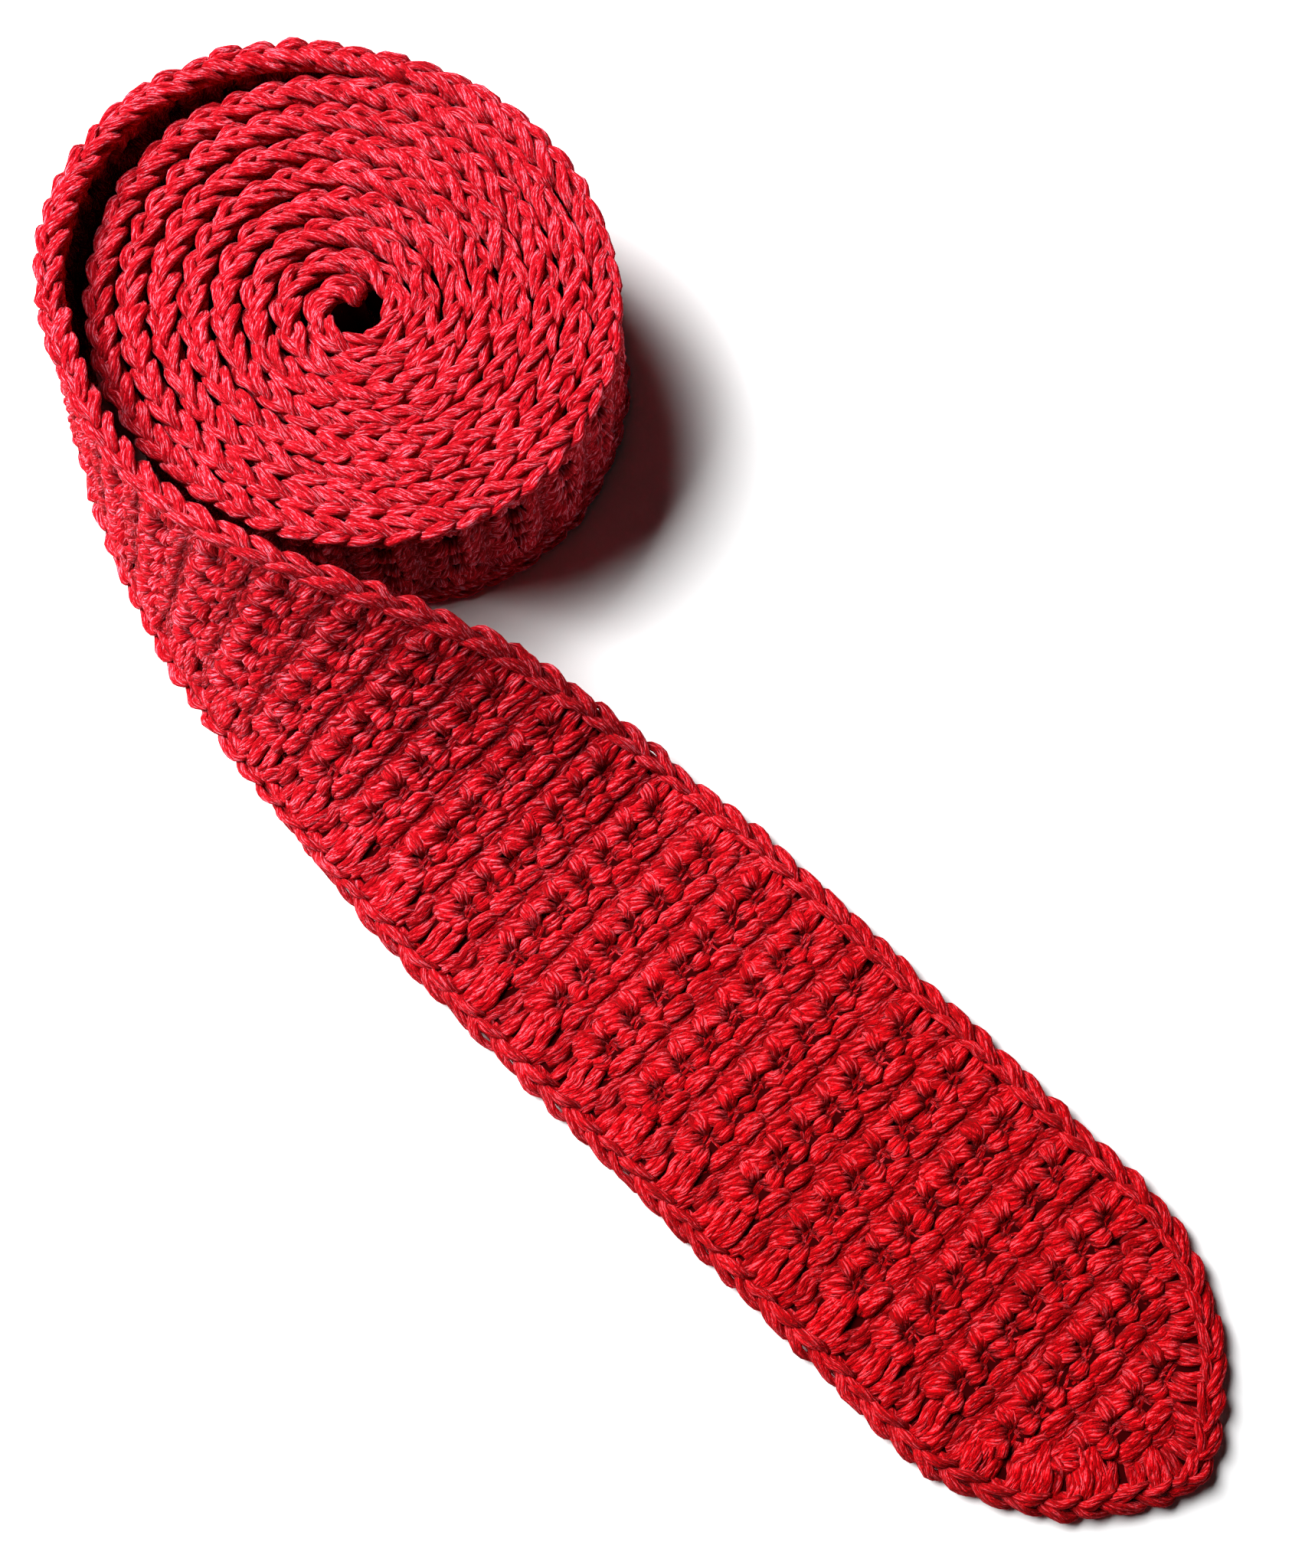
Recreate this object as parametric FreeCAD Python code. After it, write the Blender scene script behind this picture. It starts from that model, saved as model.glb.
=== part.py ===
import FreeCAD, Part
import math
import os

# A crocheted cotton necktie, rolled up from its narrow end and resting on a flat surface. The roll
# stands on the band's edge, its outer turn opens out and leans over through a quarter turn, and the
# wide blade lies flat. All sizes are millimetres and degrees. +Z is up, and the origin is the centre
# of the whole tie's footprint.

# The fabric
FABRIC = 3.75               # thickness of the crochet
EDGING = 7.3                # width of the border worked round the panel
SEAM = 0.05                 # clearance between one section of the band and the next
TURN_SEAM = 0.0004          # the same clearance between one turn and the next, as a share of a turn

# The tight roll: a spiral that winds outwards, anticlockwise seen from above
ROLL_CENTRE = (-35.48, 60.68)
ROLL_ZERO_ANGLE = 240.0     # direction, from +X, of turn number zero
ROLL_RADIUS = 35.3          # outer face's mean radius at turn number zero
ROLL_PITCH = 4.06           # growth of that radius in each turn
ROLL_OVAL = 1.5             # how much further the outer face reaches along the roll's long axis
ROLL_OVAL_ANGLE = -33.0     # direction of that long axis, from +X
ROLL_ROUND_TURN = -8.0      # turn number at which the roll would be perfectly round
ROLL_HEIGHT = 28.5          # the band's width at turn number zero
ROLL_HEIGHT_GROWTH = 0.55   # growth of that width in each turn
ROLL_START = -7.5           # turn number of the narrow end
ROLL_END = 0.5              # turn number at which the band comes loose

# The loose turn: it opens away from the roll and starts to lean inwards at the top
LOOSE_ANGLES = (60.0, 196.8)
LOOSE_RADIUS = ((60, 35.9), (90, 37.1), (115, 40.8), (140, 43.9), (165, 45.0), (196.8, 44.35))

# The free band beyond the roll: its lower edge runs on the floor, bending less and less
BLADE_START = 105.0         # distance past the loose turn at which it is straight and flat
BEND_EASE = 1.65            # how early it straightens
BLADE_HEADING = -43.7       # direction of the straight blade, from +X

# Lean of the band from upright (90 is flat) and width of the band, by distance past the loose turn.
# A negative distance is back along the loose turn.
LEAN = ((-90, 0.0), (-60, 3.0), (-30, 6.5), (0, 9.5), (20, 14.5), (40, 27.5), (58, 49.0), (76, 72.0),
        (105, 90.0))
WIDTH = ((-110, 28.8), (-5, 35.5), (20, 36.5), (40, 40.0), (60, 41.8), (80, 44.2), (100, 46.9),
         (125, 48.3))

# The crochet's rows: two rows make one ridge, with a groove between one ridge and the next
RIDGE = 9.1                 # length of a ridge along the band
FIRST_GROOVE = 41.2         # distance of one groove past the loose turn

# The flat blade. It curls up at four of its grooves, three ridges apart.
FIRST_HINGE_GROOVE = 8
RIDGES_PER_SECTION = 3
HINGES = 4
CURL = 40.0                 # how far one section curls up from the one before
CURL_SPARE = 1.0            # extra slope on each of two sections' ends, so they never meet
HINGE_GAP = 0.3             # clearance between two hinged sections

# The blade's rounded point: shoulders, straight flanks and a nose
SHOULDER = 184.0            # distance at which the blade starts to narrow
SHOULDER_BULGE = 0.08       # outward bow of the rounded shoulder, as a share of its length
FLANK_START = (205.0, 14.2)  # distance and half width where the shoulder becomes the straight flank
FLANK_ANGLE = 53.7          # between the flank and the blade's axis
NOSE_RADIUS = 10.0
TIP = 213.0                 # distance of the very point

# Spacing of the cross-sections that the curved solids pass through
ROLL_STEP = 15.0            # degrees
FREE_STEP = 3.6             # millimetres
PATH_STEP = 0.5             # millimetres, for adding up the path of the lower edge

UP = FreeCAD.Vector(0, 0, 1)


def polar(radius, angle):
    """A horizontal vector of the given length and direction."""
    turned = math.radians(angle)
    return FreeCAD.Vector(radius * math.cos(turned), radius * math.sin(turned), 0)


def eased_table(table, distance):
    """A value from a table of (distance, value) rows, with a smooth slope through each row."""
    if distance <= table[0][0]:
        return table[0][1]
    if distance >= table[-1][0]:
        return table[-1][1]
    slopes = [0.0]
    for before, here, after in zip(table, table[1:], table[2:]):
        slopes.append((after[1] - before[1]) / (after[0] - before[0]))
    slopes.append(0.0)
    for index, (low, high) in enumerate(zip(table, table[1:])):
        if distance <= high[0]:
            break
    span = high[0] - low[0]
    share = (distance - low[0]) / span
    rise = (3 - 2 * share) * share ** 2
    start_pull = share * (1 - share) ** 2 * slopes[index] * span
    end_pull = share ** 2 * (1 - share) * slopes[index + 1] * span
    return low[1] + (high[1] - low[1]) * rise + start_pull - end_pull


def band_frame(edge, heading, lean, width):
    """One cross-section of the band: the foot of its middle line, its directions across and outwards."""
    left = polar(1, heading + 90)
    tilt = math.radians(lean)
    across = UP * math.cos(tilt) + left * math.sin(tilt)
    outward = UP * math.sin(tilt) - left * math.cos(tilt)
    foot = edge + left * (FABRIC / 2 * math.cos(tilt)) + UP * (FABRIC / 2 * math.sin(tilt))
    return foot, across, outward, width


def roll_frame(turn):
    """The cross-section of the tight roll at a turn number."""
    angle = ROLL_ZERO_ANGLE + 360 * turn
    oval = ROLL_OVAL * (1 - turn / ROLL_ROUND_TURN) * math.cos(2 * math.radians(angle - ROLL_OVAL_ANGLE))
    edge = FreeCAD.Vector(*ROLL_CENTRE, 0) + polar(ROLL_RADIUS + ROLL_PITCH * turn + oval, angle)
    return band_frame(edge, angle + 90, 0, ROLL_HEIGHT + ROLL_HEIGHT_GROWTH * turn)


def loose_frame(angle):
    """The cross-section of the loose turn at a direction from the roll's centre."""
    edge = FreeCAD.Vector(*ROLL_CENTRE, 0) + polar(eased_table(LOOSE_RADIUS, angle), angle)
    distance = math.radians(angle - LOOSE_ANGLES[1]) * LOOSE_RADIUS[-1][1]
    return band_frame(edge, angle + 90, eased_table(LEAN, distance), eased_table(WIDTH, distance))


def heading_at(distance):
    """Direction of the free band's lower edge."""
    start = LOOSE_ANGLES[1] + 90 - 360
    left_to_bend = max(0.0, 1 - distance / BLADE_START)
    return BLADE_HEADING + (start - BLADE_HEADING) * left_to_bend ** BEND_EASE


def edge_at(distance):
    """Where the free band's lower edge is on the floor."""
    point = FreeCAD.Vector(*ROLL_CENTRE, 0) + polar(LOOSE_RADIUS[-1][1], LOOSE_ANGLES[1])
    steps = max(1, round(distance / PATH_STEP))
    step = distance / steps
    for index in range(steps):
        point = point + polar(step, heading_at((index + 0.5) * step))
    return point


def free_frame(distance):
    """The cross-section of the free band at a distance past the loose turn."""
    return band_frame(edge_at(distance), heading_at(distance),
                      eased_table(LEAN, distance), eased_table(WIDTH, distance))


def spread(start, end, step):
    """Evenly spaced values from start to end, about one step apart."""
    count = max(2, math.ceil(abs(end - start) / step))
    return [start + (end - start) * index / count for index in range(count + 1)]


def length_through(frames):
    """Length of the band's middle line through some cross-sections."""
    feet = [frame[0] for frame in frames]
    return sum((after - before).Length for before, after in zip(feet, feet[1:]))


def near_edging(width):
    """Where the lower or left edging lies across the band."""
    return 0, EDGING - SEAM


def panel(width):
    """Where the panel lies across the band."""
    return EDGING, width - EDGING


def far_edging(width):
    """Where the upper or right edging lies across the band."""
    return width - EDGING + SEAM, width


def band_solid(frames, strip):
    """A solid that passes through the given cross-sections, between two lines along the band."""
    sections = []
    for foot, across, outward, width in frames:
        low, high = strip(width)
        half = outward * (FABRIC / 2)
        corners = [foot + across * low - half, foot + across * high - half,
                   foot + across * high + half, foot + across * low + half]
        sections.append(Part.makePolygon(corners + corners[:1]))
    return Part.makeLoft(sections, True, False)


def three_strips(name, frames, near_side, far_side):
    """One stretch of the band: its panel and the edging along each side of it."""
    return {f"{name}_{near_side}_edging": band_solid(frames, near_edging),
            f"{name}_panel": band_solid(frames, panel),
            f"{name}_{far_side}_edging": band_solid(frames, far_edging)}


def roll_turns():
    """The tight roll, turn by turn."""
    nodes = {}
    turns = math.ceil(ROLL_END - ROLL_START)
    for number in range(1, turns + 1):
        end = ROLL_END - turns + number
        start = max(ROLL_START, end - 1)
        frames = [roll_frame(turn) for turn in spread(start, end - TURN_SEAM, ROLL_STEP / 360)]
        nodes.update(three_strips(f"roll_turn_{number}", frames, "lower", "upper"))
    return nodes


def loose_turn():
    """The outer turn, which stands clear of the roll."""
    start, end = LOOSE_ANGLES
    frames = [loose_frame(angle) for angle in spread(start, end - 360 * TURN_SEAM, ROLL_STEP)]
    return three_strips("loose_turn", frames, "lower", "upper")


def twist():
    """The stretch that leans over from standing on edge to lying flat."""
    frames = [free_frame(distance) for distance in spread(0, BLADE_START - SEAM, FREE_STEP)]
    return three_strips("twist", frames, "left", "right")


def mirrored(point):
    """The same point on the other side of the blade's axis."""
    return FreeCAD.Vector(point.x, -point.y, point.z)


def blade_outline():
    """The flat blade's outline about its own axis, as a face: X along the blade, Y across it."""
    half_width = WIDTH[-1][1] / 2
    back = BLADE_START - 2 * EDGING
    flank = math.radians(FLANK_ANGLE)
    nose_turn = FreeCAD.Vector(math.sin(flank), math.cos(flank), 0) * NOSE_RADIUS
    nose_start = FreeCAD.Vector(TIP - NOSE_RADIUS, 0, 0) + nose_turn
    tip_point = FreeCAD.Vector(TIP, 0, 0)
    shoulder = FreeCAD.Vector(SHOULDER, half_width, 0)
    flank_start = FreeCAD.Vector(*FLANK_START, 0)
    chord = flank_start - shoulder
    middle = shoulder + chord * 0.5 + FreeCAD.Vector(-chord.y, chord.x, 0) * SHOULDER_BULGE
    narrow_side = eased_table(WIDTH, BLADE_START) - half_width
    right_back = FreeCAD.Vector(back, narrow_side, 0)
    left_back = FreeCAD.Vector(back, -half_width, 0)
    narrow_end = FreeCAD.Vector(BLADE_START, narrow_side, 0)
    wide_end = FreeCAD.Vector(WIDTH[-1][0], half_width, 0)
    edges = [Part.LineSegment(left_back, right_back),
             Part.LineSegment(right_back, narrow_end),
             Part.LineSegment(narrow_end, wide_end),
             Part.LineSegment(wide_end, shoulder),
             Part.Arc(shoulder, middle, flank_start),
             Part.LineSegment(flank_start, nose_start),
             Part.Arc(nose_start, tip_point, mirrored(nose_start)),
             Part.LineSegment(mirrored(nose_start), mirrored(flank_start)),
             Part.Arc(mirrored(flank_start), mirrored(middle), mirrored(shoulder)),
             Part.LineSegment(mirrored(shoulder), left_back)]
    return Part.Face(Part.Wire([edge.toShape() for edge in edges]))


def section_cell(start, end, start_hinged, end_hinged):
    """The space of one section of the blade. A hinged end slopes back above the fold, to curl up."""
    slope = FABRIC / 2 * math.tan(math.radians(CURL / 2 + CURL_SPARE))
    start_gap, start_slope = (HINGE_GAP / 2, slope) if start_hinged else (0, 0)
    end_gap, end_slope = (HINGE_GAP / 2, slope) if end_hinged else (0, 0)
    side = -WIDTH[-1][1]
    profile = [(start + start_gap, 0), (end - end_gap, 0), (end - end_gap, FABRIC / 2),
               (end - end_gap - end_slope, FABRIC), (start + start_gap + start_slope, FABRIC),
               (start + start_gap, FABRIC / 2)]
    corners = [FreeCAD.Vector(x, side, z) for x, z in profile]
    face = Part.Face(Part.makePolygon(corners + corners[:1]))
    return face.extrude(FreeCAD.Vector(0, -2 * side, 0))


def blade_placement():
    """From the blade's own axes to where it lies."""
    start = edge_at(BLADE_START)
    left = polar(1, BLADE_HEADING + 90)
    origin = start + left * (WIDTH[-1][1] / 2) - polar(BLADE_START, BLADE_HEADING)
    turned = FreeCAD.Rotation(UP, BLADE_HEADING)
    return FreeCAD.Placement(origin, turned)


def hinge_distances():
    """Where the blade curls: at grooves, a fixed number of ridges apart."""
    grooves = [FIRST_HINGE_GROOVE + index * RIDGES_PER_SECTION for index in range(HINGES)]
    return [FIRST_GROOVE + groove * RIDGE for groove in grooves]


def blade():
    """The flat blade, cut across into sections that curl up one after another."""
    outline = blade_outline()
    middle = outline.makeOffset2D(-EDGING).extrude(UP * FABRIC)
    inside_edging = outline.makeOffset2D(SEAM - EDGING).extrude(UP * FABRIC)
    border = outline.extrude(UP * FABRIC).cut(inside_edging)
    length = TIP - BLADE_START + EDGING
    right_half = Part.makeBox(length, WIDTH[-1][1], FABRIC, FreeCAD.Vector(BLADE_START, SEAM / 2, 0))
    left_half = right_half.mirror(FreeCAD.Vector(0, 0, 0), FreeCAD.Vector(0, 1, 0))
    hinges = hinge_distances()
    ends = [BLADE_START] + hinges + [TIP + EDGING]
    names = ["blade_base"] + [f"blade_{number}" for number in range(1, HINGES)] + ["tip"]
    nodes = {}
    for index, name in enumerate(names):
        cell = section_cell(ends[index], ends[index + 1], index > 0, index < HINGES)
        nodes[f"{name}_panel"] = middle.common(cell)
        nodes[f"{name}_left_edging"] = border.common(cell).common(left_half)
        nodes[f"{name}_right_edging"] = border.common(cell).common(right_half)
    placement = blade_placement()
    for shape in nodes.values():
        shape.Placement = placement.multiply(shape.Placement)
    for number, hinge in enumerate(hinges, 1):
        print("hinge", number, placement.multVec(FreeCAD.Vector(hinge, 0, FABRIC / 2)))
    print("fold axis", placement.Rotation.multVec(FreeCAD.Vector(0, -1, 0)))
    return nodes


def main():
    """Build every piece, write each to its own file and print the sizes that the other files quote."""
    os.makedirs("parts", exist_ok=True)
    nodes = {**roll_turns(), **loose_turn(), **twist(), **blade()}
    whole = FreeCAD.BoundBox()
    for name, shape in nodes.items():
        whole.add(shape.BoundBox)
        shape.exportStep(f"parts/{name}.step")
        print(name, "valid" if shape.isValid() else "NOT VALID", len(shape.Solids), round(shape.Volume, 1))
    print("overall box", whole)
    print("footprint centre", whole.Center.x, whole.Center.y)
    turns = spread(ROLL_START, ROLL_END, ROLL_STEP / 360)
    roll_length = length_through([roll_frame(turn) for turn in turns])
    loose_length = length_through([loose_frame(angle) for angle in spread(*LOOSE_ANGLES, ROLL_STEP)])
    print("band length", round(roll_length), round(loose_length), TIP)


main()
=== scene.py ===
import math

import bpy
import numpy as np
from mathutils import Matrix, Vector


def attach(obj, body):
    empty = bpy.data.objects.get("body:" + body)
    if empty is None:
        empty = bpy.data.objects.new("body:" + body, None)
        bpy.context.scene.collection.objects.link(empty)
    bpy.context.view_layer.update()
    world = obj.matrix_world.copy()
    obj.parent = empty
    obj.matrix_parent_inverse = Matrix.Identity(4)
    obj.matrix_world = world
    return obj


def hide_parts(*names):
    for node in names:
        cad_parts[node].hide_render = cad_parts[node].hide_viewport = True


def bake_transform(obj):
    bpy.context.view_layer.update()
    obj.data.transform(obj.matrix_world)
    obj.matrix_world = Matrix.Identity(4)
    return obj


# A crocheted cotton necktie, rolled up from its narrow end. Every strand of yarn that shows is a tube laid
# along the same band as the CAD's. Lengths are millimetres and angles are degrees, unless a comment says
# otherwise. +Z is up, and the origin is the centre of the tie's footprint.
METRE = 1000.0

# The fabric. Every size from here to TIP is one of the CAD's own driving sizes.
FABRIC = 3.75               # thickness of the crochet
EDGING = 7.3                # width of the border worked round the panel

# The tight roll: a spiral that winds outwards, anticlockwise seen from above
ROLL_CENTRE = (-35.48, 60.68)
ROLL_ZERO_ANGLE = 240.0     # direction, from +X, of turn number zero
ROLL_RADIUS = 35.3          # outer face's mean radius at turn number zero
ROLL_PITCH = 4.06           # growth of that radius in each turn
ROLL_OVAL = 1.5             # how much further the outer face reaches along the roll's long axis
ROLL_OVAL_ANGLE = -33.0     # direction of that long axis, from +X
ROLL_ROUND_TURN = -8.0      # turn number at which the roll would be perfectly round
ROLL_HEIGHT = 28.5          # the band's width at turn number zero
ROLL_HEIGHT_GROWTH = 0.55   # growth of that width in each turn
ROLL_START = -7.5           # turn number of the narrow end
ROLL_END = 0.5              # turn number at which the band comes loose

# The loose turn: it opens away from the roll and starts to lean inwards at the top
LOOSE_ANGLES = (60.0, 196.8)
LOOSE_RADIUS = ((60, 35.9), (90, 37.1), (115, 40.8), (140, 43.9), (165, 45.0), (196.8, 44.35))

# The free band beyond the roll: its lower edge runs on the floor, bending less and less
BLADE_START = 105.0         # distance past the loose turn at which it is straight and flat
BEND_EASE = 1.65            # how early it straightens
BLADE_HEADING = -43.7       # direction of the straight blade, from +X

# Lean of the band from upright (90 is flat) and width of the band, by distance past the loose turn.
# A negative distance is back along the loose turn.
LEAN = ((-90, 0.0), (-60, 3.0), (-30, 6.5), (0, 9.5), (20, 14.5), (40, 27.5), (58, 49.0), (76, 72.0),
        (105, 90.0))
WIDTH = ((-110, 28.8), (-5, 35.5), (20, 36.5), (40, 40.0), (60, 41.8), (80, 44.2), (100, 46.9),
         (125, 48.3))

# The blade's rounded point: shoulders, straight flanks and a nose
SHOULDER = 184.0            # distance at which the blade starts to narrow
SHOULDER_BULGE = 0.08       # outward bow of the rounded shoulder, as a share of its length
FLANK_START = (205.0, 14.2)  # distance and half width where the shoulder becomes the straight flank
FLANK_ANGLE = 53.7          # between the flank and the blade's axis
NOSE_RADIUS = 10.0
TIP = 213.0                 # distance of the very point

# How many cross-sections follow each stretch of the band, and points each part of its point's outline
ROLL_SAMPLES = 3000
LOOSE_SAMPLES = 200
FREE_SAMPLES = 900
BULGE_POINTS = 60
FLANK_POINTS = 20
NOSE_POINTS = 40
OUTLINE_STRIDE = 3          # only every third outline point is used to tell what lies inside the panel

# The crochet's grid. Grooves run across the band and rows of holes run along it.
RIDGE = 9.1                 # from one groove to the next
FIRST_GROOVE = 41.2         # distance of one groove past the loose turn
GROOVE_SLACK = 0.01         # a groove this share of a ridge before a stretch's start still counts as in it
STITCH = 4.75               # from one row of holes to the next
LEFT_HOLES = 7.4            # the left edging's row of holes, in from the left edge
RIGHT_HOLES = 7.0           # the right edging's row of holes, in from the right edge
BACK_SHIFT = 0.5            # the back face's ridges are shifted by this share of a ridge
PANEL_OVERLAP = 0.5         # how far past the point's row of holes a panel strand's middle may lie

# Where one piece ends and the next starts, as groove numbers, and a span past its start over which it would
# bend; no piece is bent
PIECE_GROOVES = (7, 10, 13, 16)
BEND_SPAN = (0.1, 18.1)

SEED = 75
rng = np.random.default_rng(SEED)


# ---------------------------------------------------------------------------------------------------------
# The band. Places on it are a distance along it, a distance across from its left edge, and a height out from
# its middle.
# ---------------------------------------------------------------------------------------------------------

def eased_table(table, distance):
    """Values from a table of (distance, value) rows, with a smooth slope through each row."""
    rows = np.array(table, float)
    at, value = rows[:, 0], rows[:, 1]
    slopes = np.zeros(len(rows))
    slopes[1:-1] = (value[2:] - value[:-2]) / (at[2:] - at[:-2])
    distance = np.clip(distance, at[0], at[-1])
    index = np.clip(np.searchsorted(at, distance, side="left") - 1, 0, len(rows) - 2)
    span = at[index + 1] - at[index]
    share = (distance - at[index]) / span
    rise = (3 - 2 * share) * share ** 2
    start_pull = share * (1 - share) ** 2 * slopes[index] * span
    end_pull = share ** 2 * (1 - share) * slopes[index + 1] * span
    return value[index] + (value[index + 1] - value[index]) * rise + start_pull - end_pull


def polar(radius, angle):
    """Horizontal vectors of the given lengths and directions."""
    turned = np.radians(angle)
    return np.stack([radius * np.cos(turned), radius * np.sin(turned), np.zeros_like(turned)], axis=-1)


def band_frames(edge, heading, lean, width):
    """Cross-sections of the band: its left edge's middle, its directions across and outwards, its width."""
    up = np.array([0.0, 0.0, 1.0])
    left = polar(np.ones_like(heading), heading + 90)
    tilt = np.radians(lean)[:, None]
    across = up * np.cos(tilt) + left * np.sin(tilt)
    outward = up * np.sin(tilt) - left * np.cos(tilt)
    foot = edge + left * (FABRIC / 2 * np.cos(tilt)) + up * (FABRIC / 2 * np.sin(tilt))
    return np.concatenate([foot, across, outward, width[:, None]], axis=1)


def roll_frames():
    """Cross-sections of the tight roll, from the narrow end outwards."""
    turn = np.linspace(ROLL_START, ROLL_END, ROLL_SAMPLES)
    angle = ROLL_ZERO_ANGLE + 360 * turn
    oval = ROLL_OVAL * (1 - turn / ROLL_ROUND_TURN) * np.cos(2 * np.radians(angle - ROLL_OVAL_ANGLE))
    edge = np.array([*ROLL_CENTRE, 0]) + polar(ROLL_RADIUS + ROLL_PITCH * turn + oval, angle)
    return band_frames(edge, angle + 90, np.zeros_like(turn), ROLL_HEIGHT + ROLL_HEIGHT_GROWTH * turn)


def loose_frames():
    """Cross-sections of the loose turn."""
    angle = np.linspace(*LOOSE_ANGLES, LOOSE_SAMPLES)
    edge = np.array([*ROLL_CENTRE, 0]) + polar(eased_table(LOOSE_RADIUS, angle), angle)
    distance = np.radians(angle - LOOSE_ANGLES[1]) * LOOSE_RADIUS[-1][1]
    return band_frames(edge, angle + 90, eased_table(LEAN, distance), eased_table(WIDTH, distance))


def free_frames(distance):
    """Cross-sections of the free band, at evenly spaced distances from zero."""
    start = LOOSE_ANGLES[1] + 90 - 360
    step = distance[1] - distance[0]
    between = distance[:-1] + step / 2
    headings = []
    for place in (distance, between):
        left_to_bend = np.clip(1 - place / BLADE_START, 0, None)
        headings.append(BLADE_HEADING + (start - BLADE_HEADING) * left_to_bend ** BEND_EASE)
    first = np.array([*ROLL_CENTRE, 0]) + polar(np.array([LOOSE_RADIUS[-1][1]]), np.array([LOOSE_ANGLES[1]]))
    steps = polar(np.full(len(between), step), headings[1])
    edge = np.concatenate([first, first + np.cumsum(steps, axis=0)])
    return band_frames(edge, headings[0], eased_table(LEAN, distance), eased_table(WIDTH, distance))


def arc_length(frames):
    """Distance along the left edge from the first cross-section to each one."""
    steps = np.linalg.norm(np.diff(frames[:, :3], axis=0), axis=1)
    return np.concatenate([[0], np.cumsum(steps)])


def whole_band():
    """Distances along the band and its cross-sections there. Zero is where the loose turn ends."""
    roll, loose = roll_frames(), loose_frames()
    loose_at, roll_at = arc_length(loose), arc_length(roll)
    loose_at = loose_at - loose_at[-1]
    roll_at = roll_at - roll_at[-1] + loose_at[0]
    free_at = np.linspace(0, TIP + EDGING, FREE_SAMPLES)
    return (np.concatenate([roll_at[:-1], loose_at[:-1], free_at]),
            np.concatenate([roll[:-1], loose[:-1], free_frames(free_at)]),
            roll_at[0], loose_at[0])


BAND_AT, BAND, NARROW_END, LOOSE_START = whole_band()


def width_at(distance):
    """Width of the band, before the blade's point."""
    return np.interp(distance, BAND_AT, BAND[:, 9])


def on_band(at, across, out):
    """Points in millimetres, and the band's outward direction there."""
    columns = [np.interp(at, BAND_AT, BAND[:, column]) for column in range(9)]
    foot = np.stack(columns[0:3], axis=-1)
    sideways = np.stack(columns[3:6], axis=-1)
    outward = np.stack(columns[6:9], axis=-1)
    sideways /= np.linalg.norm(sideways, axis=-1, keepdims=True)
    outward /= np.linalg.norm(outward, axis=-1, keepdims=True)
    return foot + sideways * across[..., None] + outward * out[..., None], outward


def point_outline():
    """Half of the blade's point: distances along its outline, the points there and its normals.

    Each point is a distance along the band and a distance off the blade's axis.
    """
    half_width = WIDTH[-1][1] / 2
    shoulder, flank_start = np.array([SHOULDER, half_width]), np.array(FLANK_START)
    chord = flank_start - shoulder
    share = np.linspace(0, 1, BULGE_POINTS)[:, None]
    # Times four, since share * (1 - share) is a quarter where the bow is highest
    bow = np.array([-chord[1], chord[0]]) * SHOULDER_BULGE * 4
    arc = shoulder + chord * share + bow * share * (1 - share)
    flank = math.radians(FLANK_ANGLE)
    turn = np.linspace(math.pi / 2 - flank, 0, NOSE_POINTS)[:, None]
    centre = np.array([TIP - NOSE_RADIUS, 0])
    nose = centre + NOSE_RADIUS * np.concatenate([np.cos(turn), np.sin(turn)], axis=1)
    line = flank_start + (nose[0] - flank_start) * np.linspace(0, 1, FLANK_POINTS)[:, None]
    points = np.concatenate([arc[:-1], line[:-1], nose])
    steps = np.linalg.norm(np.diff(points, axis=0), axis=1)
    at = SHOULDER + np.concatenate([[0], np.cumsum(steps)])
    slope = np.gradient(points, at, axis=0)
    slope /= np.linalg.norm(slope, axis=1, keepdims=True)
    return at, points, np.stack([-slope[:, 1], slope[:, 0]], axis=1)


POINT_AT, POINT, POINT_NORMAL = point_outline()
POINT_END = POINT_AT[-1]


def on_edging(side, at, out_from_holes, out):
    """Band places of points on one edging.

    at is the distance along the outline, which is the distance along the band as far as the shoulder.
    """
    width = width_at(np.minimum(at, SHOULDER))
    holes = LEFT_HOLES if side == "left" else RIGHT_HOLES
    inwards = holes - out_from_holes
    beyond = np.clip(at, SHOULDER, POINT_END)
    over = at - np.minimum(at, POINT_END)
    base = [np.interp(beyond, POINT_AT, POINT[:, column]) for column in range(2)]
    normal = [np.interp(beyond, POINT_AT, POINT_NORMAL[:, column]) for column in range(2)]
    along = np.where(at <= SHOULDER, at, base[0] - normal[0] * inwards + over * normal[1])
    off_axis = np.where(at <= SHOULDER, 0, base[1] - normal[1] * inwards - over * normal[0])
    on_right = np.where(at <= SHOULDER, width - inwards, width / 2 + off_axis)
    on_left = np.where(at <= SHOULDER, inwards, width / 2 - off_axis)
    return along, on_left if side == "left" else on_right, out


def inside_panel(at, across):
    """Which band places are on the panel, or past the point's row of holes by no more than the overlap."""
    half_width = WIDTH[-1][1] / 2
    off_axis = np.abs(across - half_width)
    ahead = np.stack([at, off_axis], axis=-1)
    gap = np.full(np.shape(at), np.inf)
    for point, normal in zip(POINT[::OUTLINE_STRIDE], POINT_NORMAL[::OUTLINE_STRIDE]):
        gap = np.minimum(gap, (point - ahead) @ normal)
    return (at < SHOULDER - EDGING) | (gap > RIGHT_HOLES - PANEL_OVERLAP)


# ---------------------------------------------------------------------------------------------------------
# Tubes of yarn
# ---------------------------------------------------------------------------------------------------------

TWIST = 0.5                 # turn of the yarn's plies, radians in each millimetre
YARN_PLACES = 400           # each tube's plies start somewhere in this length of yarn
NO_LENGTH = 1e-9            # stands for the length of a vector that has none


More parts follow.
